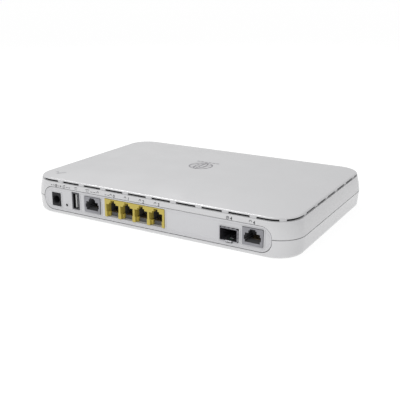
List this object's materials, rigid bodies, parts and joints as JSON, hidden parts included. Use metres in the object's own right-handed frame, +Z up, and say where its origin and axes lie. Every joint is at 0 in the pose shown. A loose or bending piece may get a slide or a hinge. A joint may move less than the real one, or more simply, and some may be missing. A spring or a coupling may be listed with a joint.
{
  "type": "optical network terminal",
  "caption": "Flat desktop or wall network terminal: two-shell white case with a vented lid, a port panel along one long side and a populated board inside.",
  "frame": {"origin": "under the middle of the case, on the surface that the feet stand on", "axes": "+X to the right seen from the port side, the ports face -Y, +Z up"},
  "size_m": [0.2386, 0.1623, 0.0326],
  "materials": {
    "case_plastic": "fine textured white moulding",
    "panel_plastic": "fine textured light grey moulding",
    "foot_rubber": "soft grey rubber",
    "screw_steel": "zinc plated",
    "board_laminate": "green solder mask",
    "black_plastic": "black moulding",
    "plated_contact": "tin plated",
    "button_plastic": "light grey moulding",
    "plated_steel": "nickel plated sheet",
    "dark_steel": "dark plated sheet",
    "spring_steel": "bright rolled spring sheet",
    "insert_plastic": "dark grey moulding",
    "white_plastic": "white moulding",
    "gold_contact": "gold plated",
    "yellow_plastic": "yellow moulding",
    "chip_epoxy": "black epoxy",
    "pad_silicone": "soft silicone",
    "sink_aluminium": "clear anodised",
    "capacitor_can": "sleeved can",
    "led_lens": "clear epoxy lens",
    "guide_clear": "frosted clear"
  },
  "bodies": {
    "chassis": {"board_screws": "screw_steel", "capacitors": "capacitor_can", "case_screws": "screw_steel", "clock_crystal": "plated_steel", "console_jack_contacts": "gold_contact", "console_jack_insert": "insert_plastic", "console_jack_shield": "plated_steel", "dc_jack_housing": "black_plastic", "dc_jack_pin": "plated_contact", "dc_jack_terminals": "plated_contact", "flash_chip": "chip_epoxy", "heat_sink": "sink_aluminium", "lan_jack_contacts": "gold_contact", "lan_jack_housing": "yellow_plastic", "lan_jack_inserts": "insert_plastic", "light_guide": "guide_clear", "lower_housing": "case_plastic", "magnetics_modules": "chip_epoxy", "main_board": "board_laminate", "main_processor": "chip_epoxy", "memory_chips": "chip_epoxy", "network_chips": "chip_epoxy", "port_panel": "panel_plastic", "power_inductors": "chip_epoxy", "reset_switch_body": "black_plastic", "rubber_feet": "foot_rubber", "sfp_cage": "plated_steel", "sfp_connector": "black_plastic", "sfp_spring_fingers": "spring_steel", "status_leds": "led_lens", "thermal_pad": "pad_silicone", "upper_housing": "case_plastic", "usb_contacts": "gold_contact", "usb_shell": "dark_steel", "usb_tongue": "white_plastic", "vent_baffle": "black_plastic", "wan_jack_contacts": "gold_contact", "wan_jack_insert": "insert_plastic", "wan_jack_shield": "plated_steel"},
    "reset_button": {"reset_button": "button_plastic"},
    "sfp_latch": {"sfp_latch_tab": "spring_steel"}
  },
  "joints": [
    {"name": "reset_press", "type": "slide", "parent": "chassis", "child": "reset_button", "axis": [0, 1, 0], "range_m": [0, 0.0004], "stiffness_N_per_m": 500},
    {"name": "sfp_latch_flex", "type": "hinge", "parent": "chassis", "child": "sfp_latch", "pos_m": [0.0693, -0.0704, 0.00852], "axis": [1, 0, 0], "range_deg": [0, 6], "stiffness_Nm_per_rad": 0.05}
  ]
}
